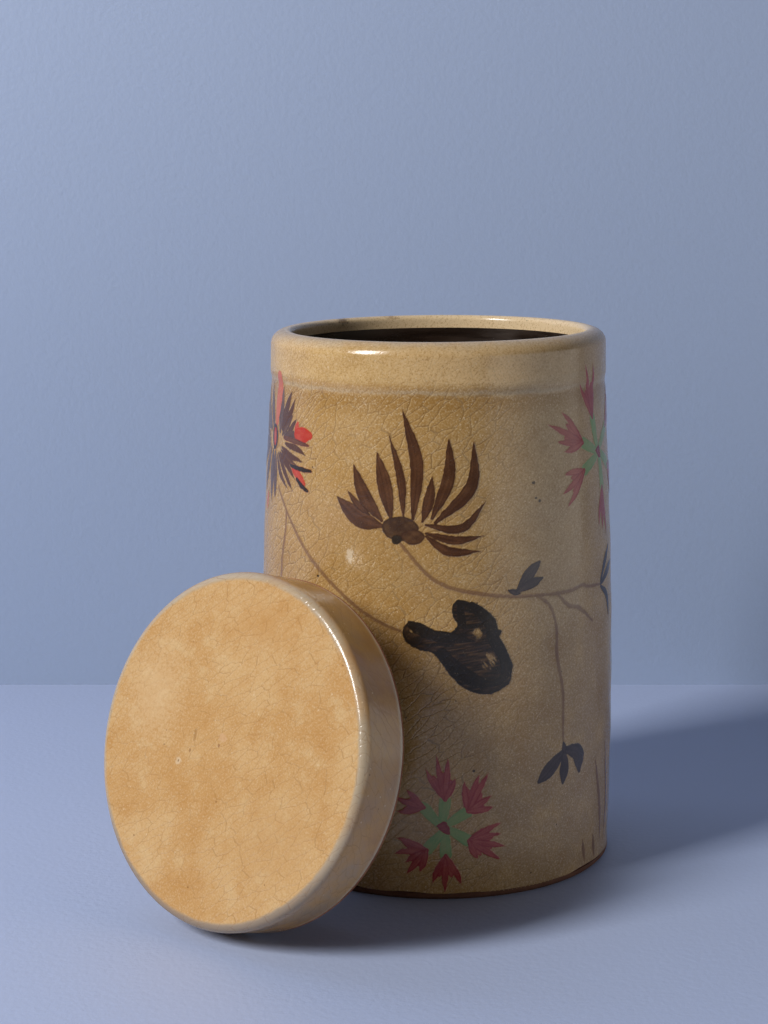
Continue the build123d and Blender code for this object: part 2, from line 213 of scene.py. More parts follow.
def warp_glaze(turn, radius, height):
    """The jar's unevenness, and a wavy lower edge of the glaze."""
    near_foot = 1 - smooth(height, glaze_line, glaze_line + 8)
    wave = foot_glaze_wave * (0.6 * ring_noise(turn, 0, 5, 2) + 0.4 * ring_noise(turn, 0, 17, 4))
    radius, height = warp_jar(turn, radius, height)
    return radius, height + wave * near_foot


def round_points(turn, radius, height):
    """Points by their turn round the axis, radius and height."""
    angle = np.radians(turn)
    return np.column_stack([radius * np.sin(angle), -radius * np.cos(angle), height])


# Meshes


def linked(name, data):
    """Object made of some data, put into the scene."""
    made = bpy.data.objects.new(name, data)
    bpy.context.scene.collection.objects.link(made)
    return made


def mesh_object(name, points, faces, place=None, sharp=35):
    """Object from points in millimetres and faces, smooth but for edges sharper than an angle."""
    mesh = bpy.data.meshes.new(name)
    mesh.from_pydata((np.asarray(points) * mm).tolist(), [], faces)
    if place is not None:
        mesh.transform(place)
    mesh.validate()
    mesh.shade_smooth()
    mesh.set_sharp_from_angle(angle=radians(sharp))
    return linked(name, mesh)


def lathe(name, outline, warp=None, place=None, steps=turn_steps):
    """Closed solid turned from a half section, whose points run round it from -Y towards +X."""
    turns = np.arange(steps) * 360 / steps
    points, rings = [], []
    for radius, height in outline:
        if radius < 1e-6:
            rings.append([len(points)] * steps)
            points.append((0, 0, height))
            continue
        radii, heights = np.full(steps, radius), np.full(steps, height)
        if warp:
            radii, heights = warp(turns, radii, heights)
        rings.append(list(range(len(points), len(points) + steps)))
        points.extend(round_points(turns, radii, heights))
    faces = []
    closed = outline[0][0] > 0 and outline[-1][0] > 0
    pairs = list(zip(rings, rings[1:])) + ([(rings[-1], rings[0])] if closed else [])
    for low, high in pairs:
        for k in range(steps):
            n = (k + 1) % steps
            corners = [low[k], low[n], high[n], high[k]]
            face = [c for i, c in enumerate(corners) if c not in corners[:i]]
            if len(face) > 2:
                faces.append(face)
    return mesh_object(name, points, faces, place)


# Materials


class Look:
    """A material being made: short calls that add one shader node each."""

    def __init__(self, name):
        self.material = bpy.data.materials.new(name)
        self.material.use_nodes = True
        self.tree = self.material.node_tree
        self.shader = self.tree.nodes["Principled BSDF"]

    def node(self, kind, inputs=None, **settings):
        made = self.tree.nodes.new("ShaderNode" + kind)
        for key, value in settings.items():
            setattr(made, key, value)
        for key, value in (inputs or {}).items():
            self.feed(made.inputs[key], value)
        return made

    def feed(self, socket, value):
        if isinstance(value, bpy.types.NodeSocket):
            self.tree.links.new(value, socket)
        else:
            socket.default_value = value

    def sums(self, operation, first, second=0.5):
        return self.node("Math", {0: first, 1: second}, operation=operation).outputs[0]

    def plus(self, first, second):
        return self.sums("ADD", first, second)

    def minus(self, first, second):
        return self.sums("SUBTRACT", first, second)

    def times(self, first, *others):
        for other in others:
            first = self.sums("MULTIPLY", first, other)
        return first

    def vector(self, operation, first, second=None, scale=None):
        """Sum on two vectors, or on a vector and a scale."""
        given = {0: first, 1: second, "Scale": scale}
        inputs = {key: value for key, value in given.items() if value is not None}
        made = self.node("VectorMath", inputs, operation=operation)
        return made.outputs["Value" if operation == "LENGTH" else 0]

    def part(self, colour, channel):
        return self.node("SeparateColor", {0: colour}).outputs[channel]

    def step(self, value, low, high, start=0.0, stop=1.0):
        """Soft step of a value between two limits, from start to stop."""
        inputs = {"Value": value, "From Min": low, "From Max": high, "To Min": start, "To Max": stop}
        return self.node("MapRange", inputs, interpolation_type="SMOOTHSTEP").outputs["Result"]

    def mix(self, share, first, second):
        """Colour between two colours."""
        made = self.node("Mix", data_type="RGBA")
        for socket, value in zip((made.inputs[0], made.inputs[6], made.inputs[7]), (share, first, second)):
            self.feed(socket, value)
        return made.outputs[2]

    def laid(self, colour, *layers):
        """Tints laid over a colour by soft steps, each given as a step's numbers and the tint."""
        for *numbers, tint in layers:
            colour = self.mix(self.step(*numbers), colour, tint)
        return colour

    def band(self, value, low, low_end, high_start, high):
        """Soft band of a value: 1 between the inner limits and 0 past the outer ones."""
        return self.times(self.step(value, low, low_end), self.step(value, high, high_start))

    def grain(self, coords, size, detail=2.0, roughness=0.5, output="Fac"):
        """Noise with features of a size in millimetres."""
        inputs = {"Vector": coords, "Scale": 1 / size, "Detail": detail, "Roughness": roughness}
        return self.node("TexNoise", inputs).outputs[output]

    def cells(self, coords, size, feature="F1", dimensions="3D"):
        """Cells of a size in millimetres."""
        inputs = {"Vector": coords, "Scale": 1 / size}
        return self.node("TexVoronoi", inputs, feature=feature, voronoi_dimensions=dimensions)

    def dots(self, coords, size, channel, chosen, edge):
        """Round dots in some cells, chosen by their random colour: 1 in a dot, with a soft edge."""
        cells = self.cells(coords, size)
        picked = self.step(self.part(cells.outputs["Color"], channel), *chosen)
        return self.times(self.step(cells.outputs["Distance"], *edge, 1.0, 0.0), picked)

    def marks(self, coords, colour, marks):
        """Single marks laid over a colour, small ones with a ragged edge and broad ones soft."""
        ragged = self.step(self.grain(coords, 1.2, 3, 0.6), 0.2, 0.8, -0.35, 0.35)
        for place, halves, tint, strength in marks:
            offset = self.vector("SUBTRACT", coords, place)
            away = self.vector("LENGTH", self.vector("DIVIDE", offset, halves))
            start = 0.6 if min(halves) < broad_mark else 0.0
            inside = self.step(self.plus(away, ragged), start, 1.1, strength, 0.0)
            colour = self.mix(inside, colour, tint)
        return colour

    def millimetres(self, place=None):
        """Object coordinates in millimetres, or those of a piece's own frame."""
        coords = self.node("TexCoord").outputs["Object"]
        if place is not None:
            back = place.inverted()
            coords = self.node("Mapping", {"Vector": coords, "Location": tuple(back.to_translation()),
                                           "Rotation": tuple(back.to_euler())}).outputs[0]
        return self.vector("SCALE", coords, scale=1 / mm)

    def placed(self, coords):
        """Places across, along and up, and the reach from the axis."""
        split = self.node("SeparateXYZ", {0: coords})
        across, along, up = (split.outputs[k] for k in range(3))
        reach = self.sums("SQRT", self.plus(self.times(across, across), self.times(along, along)))
        return across, along, up, reach

    def unrolled(self, across, along, up, radius, back):
        """Places on a turned wall laid flat, and a mask that hides the join at the back."""
        angle = self.sums("ARCTAN2", across, self.times(along, -1.0))
        round_wall = self.times(angle, radius)
        behind = self.sums("GREATER_THAN", along, back)
        shift = self.times(behind, self.minus(self.plus(across, join_shift), round_wall))
        flat = self.node("CombineXYZ", {0: self.plus(round_wall, shift), 1: up, 2: 0.0}).outputs[0]
        join = self.sums("ABSOLUTE", self.minus(along, back))
        return flat, self.step(join, 1.0, 5.0)

    def finish(self, colour, roughness, height=None, depth=0.1, **settings):
        """Set the shader's sockets; depth is the bump's height in millimetres."""
        self.feed(self.shader.inputs["Base Color"], colour)
        self.feed(self.shader.inputs["Roughness"], roughness)
        for key, value in settings.items():
            self.shader.inputs[key.replace("_", " ")].default_value = value
        if height is not None:
            bump = self.node("Bump", {"Height": height, "Distance": depth * mm, "Strength": 1.0})
            self.tree.links.new(bump.outputs["Normal"], self.shader.inputs["Normal"])
        return self.material


def shade(red, green, blue):
    """Colour from sRGB shares of 255, as linear light."""
    linear = [((c / 255 + 0.055) / 1.055) ** 2.4 if c > 10 else c / 255 / 12.92 for c in (red, green, blue)]
    return (*linear, 1.0)


golden = shade(182, 141, 82)
pale_golden = shade(196, 160, 106)
# Painted reflection grey for the right of the jar, and a darker painted shade grey for its lower part
painted_reflection_grey = shade(184, 151, 104)
painted_low_shade_grey = shade(162, 133, 96)
deep_amber = shade(152, 110, 54)
# Pale line at the groove: thin glaze with a painted highlight
groove_glaze_and_highlight = shade(192, 170, 134)
collar_left, collar_right = shade(208, 170, 112), shade(222, 184, 130)
mouth_glaze = shade(240, 212, 170)
crack_brown = shade(104, 74, 42)
crack_lit = shade(226, 196, 146)
speck_pale = shade(222, 196, 156)
speck_dark = shade(52, 38, 28)
thin_glaze = shade(176, 162, 140)
lid_tans = shade(198, 150, 92), shade(208, 166, 112)
lid_clouds = shade(188, 136, 76), shade(216, 182, 132)
lid_side_ambers = shade(176, 122, 62), shade(192, 144, 82)
lid_side_thin = shade(206, 186, 156)
lid_low_edge_glaze_and_shade = shade(146, 126, 104)
lid_pit = shade(112, 66, 36)
lid_crack = shade(132, 88, 46)
lining_browns = shade(30, 20, 14), shade(52, 38, 28)
clay_red, clay_tan = shade(138, 78, 46), shade(168, 108, 70)
clay_dark, clay_foot_shade = shade(88, 54, 36), shade(74, 48, 34)
floor_colour, floor_front = shade(180, 192, 222), shade(84, 90, 106)
backdrop_colour, backdrop_low_shade = shade(172, 186, 213), shade(156, 171, 198)
crack_slope = 0.10
enamel_slope = 0.045
lid_slope = 0.045
glaze_index = 1.53

# Marks with half sizes over this have soft edges; the others are ragged
broad_mark = 7.0

# Cracks are laid out on the unrolled wall. Behind these places they are laid out flat across
# instead, on a part of the net that is far away. On the lid the side starts at this radius.
jar_join, lid_join = 52.0, 46.0
join_shift = 400.0
lid_side_start = 63.6

# Cracks: cell size and width in millimetres, slant in degrees, stretch along the slant
jar_long_cracks = (3.4, 0.17, 40, 3.6)
jar_short_cracks = (2.7, 0.12, -50, 1.8)
lid_long_cracks = (3.3, 0.11, 40, 3.6)
lid_short_cracks = (2.6, 0.08, -48, 1.6)
lit_side_offset = (-0.35, 0.30, 0.0)
long_crack_strength, short_crack_strength, lit_side_strength = 0.50, 0.32, 0.24

# Swells of the glaze between its cracks and in its grain, as shares of the bump's height
long_crack_swell, short_crack_swell, grain_swell = 0.6, 0.4, 0.13
enamel_roughness, black_roughness = 0.22, 0.3

# Enamels: their colours where laid thin, where laid thick, and where a stroke turns to its other one
enamels = {
    "brown_enamel": (shade(104, 66, 42), shade(66, 36, 22), shade(42, 34, 28)),
    "grey_purple_enamel": (shade(106, 80, 70), shade(70, 52, 50), shade(82, 46, 28)),
    "red_enamel": (shade(196, 88, 66), shade(184, 42, 14), shade(38, 26, 22)),
    "crimson_enamel": (shade(178, 82, 70), shade(146, 34, 36), shade(96, 26, 36)),
    "green_enamel": (shade(134, 158, 92), shade(100, 144, 82), shade(84, 118, 76)),
    "black_enamel": (shade(62, 42, 28), shade(16, 14, 13), shade(16, 14, 13)),
    "purple_enamel": (shade(78, 62, 60), shade(46, 36, 40), shade(26, 22, 26)),
    "brown_line_enamel": (shade(126, 90, 62), shade(96, 62, 44), shade(96, 62, 44)),
}

# Single marks on the glaze, in millimetres: where, half sizes, colour, strength. On the jar they
# are places in space, on the lid places in its own frame. An iron speck has a place and a half size.
jar_specks = [
    (34.0, -60.1, 157.5, 0.8), (34.9, -59.6, 151.8, 0.6), (36.4, -58.7, 150.6, 0.7),
    (12.3, -68.9, 50.4, 0.6), (-35.9, -58.6, 147.6, 0.5), (-46.0, -52.0, 121.0, 0.5),
]
jar_marks = [
    ((-34.0, -61.0, 130.4), (1.5, 6.0, 3.3), shade(226, 204, 172), 0.75),
    *(((x, y, z), (half, 6.0, half), speck_dark, 0.9) for x, y, z, half in jar_specks),
    ((-39.0, 45.0, 208.0), (3.5, 4.0, 1.6), shade(92, 62, 40), 0.7),
    ((-20.0, 56.5, 208.5), (5.0, 2.5, 1.2), shade(128, 92, 58), 0.6),
]
lid_marks = [
    ((-16.4, 2.3, 21.0), (0.7, 2.6, 4.0), shade(150, 108, 62), 0.45),
    ((-17.5, -3.5, 21.0), (0.6, 0.8, 4.0), shade(136, 88, 50), 0.65),
    ((-4.0, 0.6, 21.0), (0.6, 0.8, 4.0), shade(142, 90, 58), 0.65),
    ((-2.5, 3.8, 21.0), (2.0, 1.6, 4.0), shade(220, 176, 140), 0.35),
    ((-22.4, -8.3, 21.0), (1.6, 1.6, 4.0), shade(226, 204, 170), 0.55),
    ((-22.4, -8.3, 21.0), (0.5, 0.6, 4.0), shade(134, 96, 60), 0.8),
    # The broad pale mark at the left of the face is a painted highlight
    ((-40.0, 14.0, 21.0), (20.0, 26.0, 8.0), shade(222, 188, 142), 0.5),
    ((8.0, 46.0, 21.0), (30.0, 16.0, 8.0), shade(190, 136, 74), 0.5),
    ((30.0, -28.0, 21.0), (26.0, 22.0, 8.0), shade(192, 142, 84), 0.4),
]


def cracks(look, flat, coords, size, width, slant, stretch):
    """Net of cracks on a flat layout: 1 in a crack and 0 between, and how far the nearest is."""
    push = look.vector("SUBTRACT", look.grain(coords, size * 1.5, 3, output="Color"), (0.5, 0.5, 0.5))
    bent = look.vector("ADD", flat, look.vector("SCALE", push, scale=size * 0.9))
    drawn = look.node("Mapping", {"Vector": bent, "Rotation": (0.0, 0.0, radians(slant)),
                                  "Scale": (stretch, 1.0, 1.0)}, vector_type="TEXTURE").outputs[0]
    edge = look.cells(drawn, size, "DISTANCE_TO_EDGE", "2D").outputs["Distance"]
    return look.step(edge, width / size * 0.25, width / size, 1.0, 0.0), edge


def jar_glaze_look(look):
    """Colour, roughness and height of the jar's glaze at each place."""
    mix, step, plus, times = look.mix, look.step, look.plus, look.times
    coords = look.millimetres()
    across, along, up, reach = look.placed(coords)
    large = look.grain(coords, 46, 3)
    cloud = look.grain(coords, 13, 4, 0.6)
    fine = look.grain(coords, 0.75, 3, 0.8)

    # Golden at the left and greyer towards the right, in clouds: the grey on the right is a painted
    # reflection, and it is darker lower down as painted shade
    painted_grey_share = step(plus(times(across, 1 / belly_radius), times(large, 1.3)), 0.55, 1.35)
    painted_grey_tint = mix(step(up, 30.0, 170.0), painted_low_shade_grey, painted_reflection_grey)
    colour = look.laid(mix(painted_grey_share, golden, painted_grey_tint), (cloud, 0.42, 0.72, 0.0, 0.55, pale_golden),
                       (cloud, 0.30, 0.46, 0.35, 0.0, deep_amber))

    # Two thin grey lines at the groove, partly thin glaze and partly a painted highlight on its ridge, and
    # glaze gathered amber below it
    wavy = plus(up, times(look.minus(cloud, 0.5), 3.0))
    upper = times(look.band(wavy, 194.0, 195.0, 195.6, 197.0), 0.6)
    lines = times(plus(look.band(wavy, 190.2, 191.0, 191.4, 192.6), upper), step(large, 0.3, 0.6, 0.15, 0.5))
    below = times(look.band(wavy, 180.0, 188.5, 189.4, 190.6), 0.55)
    colour = mix(below, mix(lines, colour, groove_glaze_and_highlight), deep_amber)

    # Collar, paler where the glaze lies thin at the front left
    thin = times(step(wavy, 192.5, 196.0), step(across, 66.0, 12.0, 0.0, step(cloud, 0.3, 0.6, 0.6, 0.9)))
    colour = mix(thin, colour, mix(step(across, -40.0, 14.0), collar_left, collar_right))

    # Lip and mouth, where the glaze ran thin
    lip = times(step(up, 204.5, 209.0), step(cloud, 0.35, 0.6, 0.15, 0.5))
    mouth = times(step(reach, 61.5, 59.0), step(up, 200.0, 203.0, 0.0, 0.8))
    colour = mix(mouth, mix(lip, colour, thin_glaze), mouth_glaze)

    # Grain, pale bubbles and iron spots
    colour = look.laid(colour, (fine, 0.50, 0.68, 0.0, 0.5, speck_pale),
                       (fine, 0.34, 0.50, 0.55, 0.0, deep_amber))
    bubbles = look.dots(coords, 1.35, 0, (0.5, 0.9), (0.10, 0.27))
    iron = look.dots(coords, 7.5, 1, (0.62, 0.66), (0.030, 0.060))
    colour = mix(times(iron, 0.85), mix(times(bubbles, 0.8), colour, speck_pale), speck_dark)

    # Crackle: long slanted cracks and a fine net between them, strongest where the glaze is golden
    flat, away_from_join = look.unrolled(across, along, up, belly_radius, jar_join)
    long_cracks, ridges = cracks(look, flat, coords, *jar_long_cracks)
    short_cracks, domes = cracks(look, flat, coords, *jar_short_cracks)
    lit_sides, _ = cracks(look, look.vector("ADD", flat, lit_side_offset), coords, *jar_long_cracks)
    strong = times(step(up, 197.0, 186.0, 0.28, 1.0), away_from_join, step(painted_grey_share, 0.2, 1.0, 1.0, 0.22),
                   step(large, 0.38, 0.56, 0.55, 1.0))
    patches = times(step(cloud, 0.36, 0.60, 0.2, 1.0), strong)
    # Pale lines beside the long cracks are a painted highlight on their lit sides
    colour = mix(times(strong, lit_side_strength, lit_sides), colour, crack_lit)
    web = look.sums("MAXIMUM", times(strong, long_crack_strength, long_cracks),
                    times(patches, short_crack_strength, short_cracks))
    colour = mix(web, colour, crack_brown)

    satin = step(cloud, 0.3, 0.7, 0.17, 0.25)
    swell = plus(times(patches, short_crack_swell, step(domes, 0.0, 0.15)),
                 times(strong, long_crack_swell, step(ridges, 0.0, 0.13)))
    return look.marks(coords, colour, jar_marks), satin, plus(swell, times(fine, grain_swell))


def jar_glaze_material():
    look = Look("ochre_crackle_glaze_surface")
    colour, roughness, height = jar_glaze_look(look)
    return look.finish(colour, roughness, height, crack_slope, IOR=glaze_index)


def lid_glaze_material(place):
    """Glaze of the lid, in the lid's own frame: +Z out of its face."""
    look = Look("lid_crackle_glaze_surface")
    mix, step, plus, times = look.mix, look.step, look.plus, look.times
    coords = look.millimetres(place)
    across, along, up, reach = look.placed(coords)
    large = look.grain(coords, 34, 3)
    cloud = look.grain(coords, 9, 4, 0.6)
    fine = look.grain(coords, 0.8, 3, 0.7)
    colour = look.laid(
        mix(step(large, 0.38, 0.66), *lid_tans),
        (cloud, 0.30, 0.50, 0.46, 0.0, lid_clouds[0]),
        (cloud, 0.52, 0.72, 0.0, 0.5, lid_clouds[1]),
        (fine, 0.44, 0.75, 0.0, 0.46, speck_pale),
        (fine, 0.26, 0.46, 0.26, 0.0, deep_amber),
    )

    # Side: a deeper amber, clouded, with glaze drawn thin along its lower edge
    side_colour = mix(step(times(plus(large, cloud), 0.5), 0.38, 0.60), *lid_side_ambers)
    side_colour = mix(step(up, 3.0, 0.6), side_colour, lid_side_thin)
    colour = mix(step(reach, 61.8, 64.0), colour, side_colour)

    # Thin bluish line where the glaze ran off the edge of the face
    edge = look.band(plus(reach, times(cloud, 1.6)), 61.2, 62.8, 64.2, 65.6)
    colour = mix(times(edge, step(large, 0.3, 0.62, 0.2, 0.8)), colour, thin_glaze)
    # The lower part of that edge is greyer and darker: thin glaze, and painted shade where the edge turns
    # down from the light
    colour = mix(times(edge, step(along, -20.0, -50.0, 0.0, 0.85)), colour, lid_low_edge_glaze_and_shade)

    # Pinholes and pale bubbles
    pits = look.dots(coords, 6.0, 0, (0.62, 0.66), (0.03, 0.075))
    bubbles = look.dots(coords, 3.1, 1, (0.78, 0.82), (0.06, 0.14))
    colour = mix(times(bubbles, 0.7), mix(times(pits, 0.7), colour, lid_pit), speck_pale)

    # Cracks, drawn on the face as it lies and on the side unrolled
    side, away_from_join = look.unrolled(across, along, up, lid_radius, lid_join)
    turned = look.node("Mix", {0: look.sums("GREATER_THAN", reach, lid_side_start), 4: coords, 5: side},
                       data_type="VECTOR").outputs[1]
    long_cracks, ridges = cracks(look, turned, coords, *lid_long_cracks)
    short_cracks, _ = cracks(look, turned, coords, *lid_short_cracks)
    web = look.sums("MAXIMUM", times(long_cracks, step(large, 0.3, 0.6, 0.12, 0.30)),
                    times(short_cracks, step(cloud, 0.40, 0.62, 0.0, 0.24)))
    on_face = step(reach, lid_side_start, lid_side_start - 0.2)
    web = times(web, look.sums("MAXIMUM", away_from_join, on_face))
    colour = look.marks(coords, mix(web, colour, lid_crack), lid_marks)
    height = plus(times(fine, 0.25), times(step(ridges, 0.0, 0.13), step(large, 0.3, 0.6, 0.2, 0.8)))
    return look.finish(colour, step(cloud, 0.3, 0.7, 0.15, 0.22), height, lid_slope, IOR=glaze_index)


def lining_material():
    look = Look("dark_inner_glaze_surface")
    rings = look.node("Mapping", {"Vector": look.millimetres(), "Scale": (0.15, 0.15, 1.0)}).outputs[0]
    bands = look.grain(rings, 4.0, 3)
    colour = look.mix(look.step(bands, 0.3, 0.7), *lining_browns)
    return look.finish(colour, look.step(bands, 0.3, 0.7, 0.22, 0.38), bands, 0.15)


def clay_material():
    look = Look("fired_clay_surface")
    coords = look.millimetres()
    cloud = look.grain(coords, 7.0, 4, 0.6)
    fine = look.grain(coords, 0.7, 3, 0.7)
    up = look.node("SeparateXYZ", {0: coords}).outputs[2]
    # Darker within a few millimetres of the table: painted contact shade under the jar's foot and the lid's
    # rim
    colour = look.laid(look.mix(look.step(cloud, 0.35, 0.65), clay_red, clay_tan),
                       (fine, 0.35, 0.6, 0.5, 0.0, clay_dark), (up, 9.0, 3.0, 0.0, 0.7, clay_foot_shade))
    height = look.plus(fine, look.times(cloud, 0.5))
    return look.finish(colour, look.step(fine, 0.3, 0.7, 0.75, 0.92), height, 0.10)


# Painting on the wall


def curve_points(points, count):
    """Smooth curve through a few points."""
    points = np.asarray(points, float)
    ends = np.vstack([2 * points[0] - points[1], points, 2 * points[-1] - points[-2]])
    span = np.linspace(0, len(points) - 1, count)
    k = np.minimum(span.astype(int), len(points) - 2)
    t = (span - k)[:, None]
    a, b, c, d = ends[k], ends[k + 1], ends[k + 2], ends[k + 3]
    return 0.5 * (2 * b + (c - a) * t + (2 * a - 5 * b + 4 * c - d) * t**2 + (3 * b - a - 3 * c + d) * t**3)


class Painting:
    """Enamel laid on a patch of the wall, stroke over stroke, on a fine grid."""

    def __init__(self, facing, low_turn, high_turn, low_share, high_share):
        self.facing = facing
        turns = np.arange(low_turn, high_turn, degrees(paint_pitch / belly_radius))
        self.heights = np.arange(low_share * jar_height, high_share * jar_height, paint_pitch)
        self.turn, self.height = np.meshgrid(turns, self.heights)
        self.across = np.radians(self.turn - facing) * wall_radius(self.height)
        self.cover, self.load, self.tone = (np.zeros_like(self.turn) for _ in range(3))
        self.seed = 0

    def flat(self, place):
        """A place on the wall as millimetres across and up."""
        turn, share = place
        return radians(turn - self.facing) * wall_radius(share * jar_height), share * jar_height

    def lay(self, cover, load, tone):
        """Lay paint over what is there already."""
        self.load = self.load * (1 - cover) + np.maximum(load, 0.3 * self.load) * cover
        self.tone = self.tone * (1 - cover) + tone * cover
        self.cover = 1 - (1 - self.cover) * (1 - cover)

    def stroke(self, places, width, start=0.3, peak=0.5, end=0.0, load=0.8, tone=0.0, soft=0.16, dry=0.0):
        """One brush stroke along places, of a width in millimetres, with its shape from start to end."""
        self.seed += 1
        path = curve_points([self.flat(place) for place in places], 70)
        ahead = np.gradient(path, axis=0)
        ahead /= np.hypot(*ahead.T)[:, None]
        reached = np.append(0, np.cumsum(np.hypot(*np.diff(path, axis=0).T)))
        low, high = path.min(0) - width / 2 - 1.5, path.max(0) + width / 2 + 1.5
        rows = (self.heights > low[1]) & (self.heights < high[1])
        near = self.across[rows]
        inside = np.ix_(rows, (near.max(0) > low[0]) & (near.min(0) < high[0]))
        x, y = self.across[inside], self.height[inside]
        nearest = np.hypot(x[..., None] - path[:, 0], y[..., None] - path[:, 1]).argmin(-1)
        dx, dy = x - path[nearest, 0], y - path[nearest, 1]
        off = dy * ahead[nearest, 0] - dx * ahead[nearest, 1]
        gone = reached[nearest] + dx * ahead[nearest, 0] + dy * ahead[nearest, 1]
        held = np.clip(gone, 0, reached[-1])
        along = held / reached[-1]
        rise = start + (1 - start) * np.sin(np.clip(along / peak, 0, 1) * pi / 2)
        fall = end + (1 - end) * np.sin(np.clip((1 - along) / (1 - peak), 0, 1) * pi / 2)
        gap = np.hypot(off, gone - held) - width / 2 * np.minimum(rise, fall)
        wobble = 0.16 * noise(x / 1.3, y / 1.3, self.seed) + 0.06 * noise(x / 0.5, y / 0.5, self.seed + 40)
        cover = smooth(-(gap + wobble), -soft, soft)
        bristle = noise(off / (0.07 * width + 0.12), along * 2.5, self.seed + 11)
        body = load + 0.14 * bristle + 0.10 * noise(x / 3.0, y / 3.0, self.seed + 23)
        body = body + 0.22 * smooth(gap, -0.7, -0.15)
        if dry:
            thin = smooth(along, 1 - dry, 1.0) * smooth(bristle, -0.2, 0.5)
            cover = cover * (1 - 0.9 * thin)
        full = np.zeros_like(self.cover)
        full[inside] = cover
        depth, hue = np.zeros_like(full), np.full_like(full, tone)
        depth[inside] = body
        self.lay(full, depth, hue)

    def strokes(self, rows, **how):
        """Strokes of one kind, each with its places and its width as a share of the jar's height."""
        for places, width in rows:
            self.stroke(places, width * jar_height, **how)
        return self

    def oval(self, place, across, up):
        """How far each point of the patch lies outside an oval, with its half sizes in millimetres."""
        x, y = self.flat(place)
        return (np.hypot((self.across - x) / across, (self.height - y) / up) - 1) * min(across, up)

    def dab(self, place, across_share, up_share, load, tone):
        """Oval touch, with its half sizes as shares of the jar's height."""
        self.seed += 1
        x, y = self.across, self.height
        gap = self.oval(place, across_share * jar_height, up_share * jar_height)
        gap = gap + 0.22 * noise(x / 1.6, y / 1.6, self.seed)
        body = load + 0.18 * noise(x / 1.4, y / 1.4, self.seed + 7) + 0.2 * smooth(gap, -0.7, -0.15)
        self.lay(smooth(-gap, -0.2, 0.2), body, tone)

    def fill(self, places, tone):
        """Closed shape through places, brushed in."""
        self.seed += 1
        points = [self.flat(place) for place in places]
        edge = curve_points(points + points[:1], 40 * len(points))
        x, y = self.across, self.height
        gap = np.full(x.shape, 1e9)
        inside = np.zeros(x.shape, bool)
        for (ax, ay), (bx, by) in zip(edge[:-1], edge[1:]):
            gap = np.minimum(gap, np.hypot(x - ax, y - ay))
            if ay != by:
                inside ^= ((ay > y) != (by > y)) & (x < (bx - ax) * (y - ay) / (by - ay) + ax)
        gap = np.where(inside, -gap, gap) + 0.26 * noise(x / 1.4, y / 1.4, self.seed)
        gap = gap + 0.14 * noise(x / 0.5, y / 0.5, self.seed + 9)
        body = 0.8 + 0.34 * noise(x / 3.6 + y / 9, y / 0.45 - x / 4, self.seed + 5)
        self.lay(smooth(-gap, -0.18, 0.18), body + 0.3 * smooth(gap, -1.6, -0.3), tone)

    def lift_off(self, place, across, up, share, scratched=False):
        """Take paint away in an oval, whole or in slanted scratches, so that the glaze shows."""
        x, y = self.across, self.height
        gap = self.oval(place, across, up) + 0.5 * noise(x / 1.3, y / 1.3, 77)
        gone = share * smooth(-gap, -0.3, 0.5)
        if scratched:
            gone = gone * smooth(noise((x + 0.7 * y) / 0.7, y / 2.6, 31), -0.1, 0.3)
        self.cover = self.cover * (1 - gone)

    def mesh(self, name, layer):
        """Mesh of the painted part of the patch, raised by its layer and the thickness of the paint."""
        painted = self.cover > 0.01
        wide = painted.copy()
        wide[1:] |= painted[:-1]
        wide[:-1] |= painted[1:]
        wide[:, 1:] |= wide[:, :-1].copy()
        wide[:, :-1] |= wide[:, 1:].copy()
        keep = wide[1:, 1:] & wide[1:, :-1] & wide[:-1, 1:] & wide[:-1, :-1]
        index = np.arange(self.turn.size).reshape(self.turn.shape)
        quads = np.stack([index[:-1, :-1], index[:-1, 1:], index[1:, 1:], index[1:, :-1]], -1)[keep]
        used, corners = np.unique(quads, return_inverse=True)
        turn, height = self.turn.ravel()[used], self.height.ravel()[used]
        paint = {key: getattr(self, key).ravel()[used] for key in ("cover", "load", "tone")}
        thickness = paint_body * paint["cover"] * np.clip(0.5 + 0.5 * paint["load"], 0, 1.2)
        wall_skin = warp_jar(turn, outside_radius(height), height)[0]
        radius = wall_skin + (paint_lift + paint_layer * layer) + thickness
        height = warp_jar(turn, radius, height)[1]
        faces = corners.reshape(-1, 4).tolist()
        made = mesh_object(name, round_points(turn, radius, height), faces, sharp=80)
        for key, values in paint.items():
            places = made.data.attributes.new(key, "FLOAT", "POINT").data
            places.foreach_set("value", values.astype(np.float32))
        return made


def enamel_material(slot):
    """Enamel over the glaze, which shows where the paint thins out."""
    thin, thick, other = enamels[slot]
    look = Look(slot + "_surface")
    glaze_colour, glaze_rough, height = jar_glaze_look(look)
    cover, load, tone = (look.node("Attribute", attribute_name=key).outputs["Fac"]
                         for key in ("cover", "load", "tone"))
    fine = look.grain(look.millimetres(), 0.6, 3, 0.7)
    depth = look.plus(load, look.times(look.minus(fine, 0.5), 0.7))
    colour = look.mix(tone, look.mix(look.step(depth, 0.45, 1.05), thin, thick), other)
    colour = look.mix(look.step(fine, 0.60, 0.78, 0.0, 0.22), colour, speck_pale)
    solid = look.times(cover, look.step(load, 0.1, 0.75, 0.70, 0.97))
    glaze_rough = look.node("CombineColor", {0: glaze_rough, 1: 0.0, 2: 0.0}).outputs[0]
    enamel_rough = black_roughness if slot == "black_enamel" else enamel_roughness
    rough = look.part(look.mix(solid, glaze_rough, (enamel_rough, 0.0, 0.0, 1.0)), 0)
    return look.finish(look.mix(solid, glaze_colour, colour), rough, height, enamel_slope, IOR=glaze_index)


